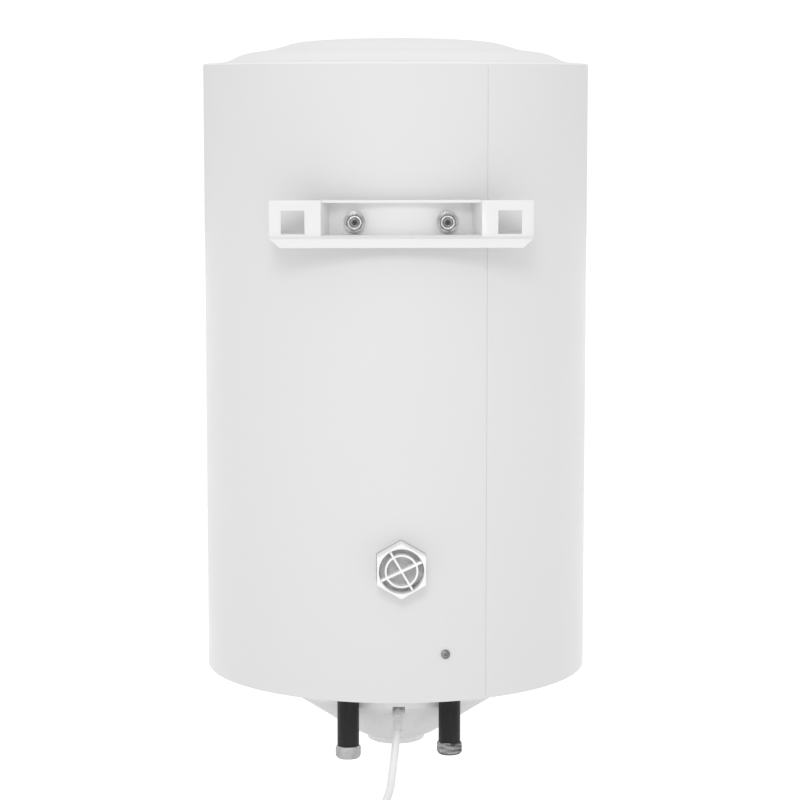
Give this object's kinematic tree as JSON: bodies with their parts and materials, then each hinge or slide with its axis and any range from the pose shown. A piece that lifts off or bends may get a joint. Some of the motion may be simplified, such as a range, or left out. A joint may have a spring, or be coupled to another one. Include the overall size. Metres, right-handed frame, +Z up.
{
  "type": "tank water heater",
  "caption": "Wall-hung upright electric storage water heater with domed top, hook bracket, two bottom pipe connections and a bottom knob.",
  "frame": {"origin": "middle of the bracket lower lip's bearing land, on the wall plane", "axes": "+Z up along the tank, -Y towards the wall, +Y to the front, +X to the right seen from the wall side"},
  "size_m": [0.385, 0.408, 0.9424],
  "materials": {
    "white_enamel": "satin",
    "white_bracket": "satin",
    "white_plastic": "satin",
    "foam": "matte",
    "enamelled_steel": "gloss",
    "gasket_rubber": "matte",
    "plated_steel": "satin",
    "copper": "satin",
    "brass": "satin",
    "ceramic": "satin",
    "anode_metal": "matte",
    "dark_plastic": "matte",
    "red_plastic": "gloss",
    "lamp_lens": "gloss",
    "black_sleeve": "satin",
    "cold_socket_finish": "satin",
    "hot_socket_finish": "satin",
    "pale_plastic": "matte",
    "dial_face": "matte",
    "clear_lens": "gloss",
    "wire_insulation": "satin",
    "white_cord": "satin",
    "cord_tie": "satin",
    "pin_metal": "polished"
  },
  "bodies": {
    "root": {"anode_nut": "plated_steel", "anode_rod": "anode_metal", "bottom_cover": "white_plastic", "bracket_bolts": "plated_steel", "bracket_washers": "plated_steel", "casing_screws": "plated_steel", "cold_inlet_pipe": "plated_steel", "cold_sleeve": "black_sleeve", "cold_socket": "cold_socket_finish", "control_bracket": "plated_steel", "cord_coil": "white_cord", "cord_tail": "white_cord", "cord_tie": "cord_tie", "cover_screws": "plated_steel", "earth_nut": "plated_steel", "electrical_cover": "white_plastic", "element_insulators": "ceramic", "element_terminals": "brass", "feed_leads": "wire_insulation", "flange_bolts": "plated_steel", "flange_gasket": "gasket_rubber", "flange_plate": "plated_steel", "flange_ring": "enamelled_steel", "foam_insulation": "foam", "heating_element": "copper", "hot_outlet_pipe": "plated_steel", "hot_sleeve": "black_sleeve", "hot_socket": "hot_socket_finish", "indicator_lamp": "lamp_lens", "inlet_diffuser": "pale_plastic", "inner_leads": "wire_insulation", "mains_cord": "white_cord", "mains_plug": "white_cord", "outer_casing": "white_enamel", "pipe_grommets": "gasket_rubber", "plug_pins": "pin_metal", "spacer_socket": "white_plastic", "strain_relief": "white_cord", "tank_anchors": "plated_steel", "tank_bottom_head": "enamelled_steel", "tank_shell": "enamelled_steel", "tank_top_head": "enamelled_steel", "terminal_block": "dark_plastic", "terminal_screws": "brass", "thermal_cutout": "dark_plastic", "thermometer_bezel": "white_plastic", "thermometer_can": "pale_plastic", "thermometer_dial": "dial_face", "thermometer_lens": "clear_lens", "thermostat_body": "dark_plastic", "thermostat_pocket": "copper", "thermostat_probe": "copper", "top_cover": "white_enamel", "wall_bracket": "white_bracket"},
    "knob": {"thermostat_knob": "white_plastic", "thermostat_spindle": "plated_steel"},
    "reset_button": {"reset_button": "red_plastic"},
    "spacer_leg": {"spacer_leg": "white_plastic"},
    "spacer_screw": {"spacer_screw": "white_plastic"},
    "needle": {"thermometer_needle": "red_plastic"}
  },
  "joints": [
    {"name": "knob_turn", "type": "hinge", "parent": "root", "child": "knob", "pos_m": [0, 0.2125, -0.5175], "axis": [0, 0, 1], "range_deg": [0, 270]},
    {"name": "spacer_slide", "type": "slide", "parent": "root", "child": "spacer_leg", "axis": [0, -1, 0], "range_m": [-0.002, 0.006]},
    {"name": "spacer_turn", "type": "hinge", "parent": "spacer_leg", "child": "spacer_screw", "pos_m": [0, 0.01, -0.307], "axis": [0, -1, 0], "range_deg": [-180, 540]},
    {"name": "reset_press", "type": "slide", "parent": "root", "child": "reset_button", "axis": [0, 0, 1], "range_m": [0, 0.002], "stiffness_N_per_m": 300, "springref_m": -0.004},
    {"name": "needle_swing", "type": "hinge", "parent": "root", "child": "needle", "pos_m": [0, 0.403, -0.3], "axis": [0, 1, 0], "range_deg": [0, 240], "stiffness_Nm_per_rad": 0.0005}
  ],
  "couplings": [
    {"joint": "spacer_turn", "follows": "spacer_slide", "rad_per_m": 1570.8}
  ]
}
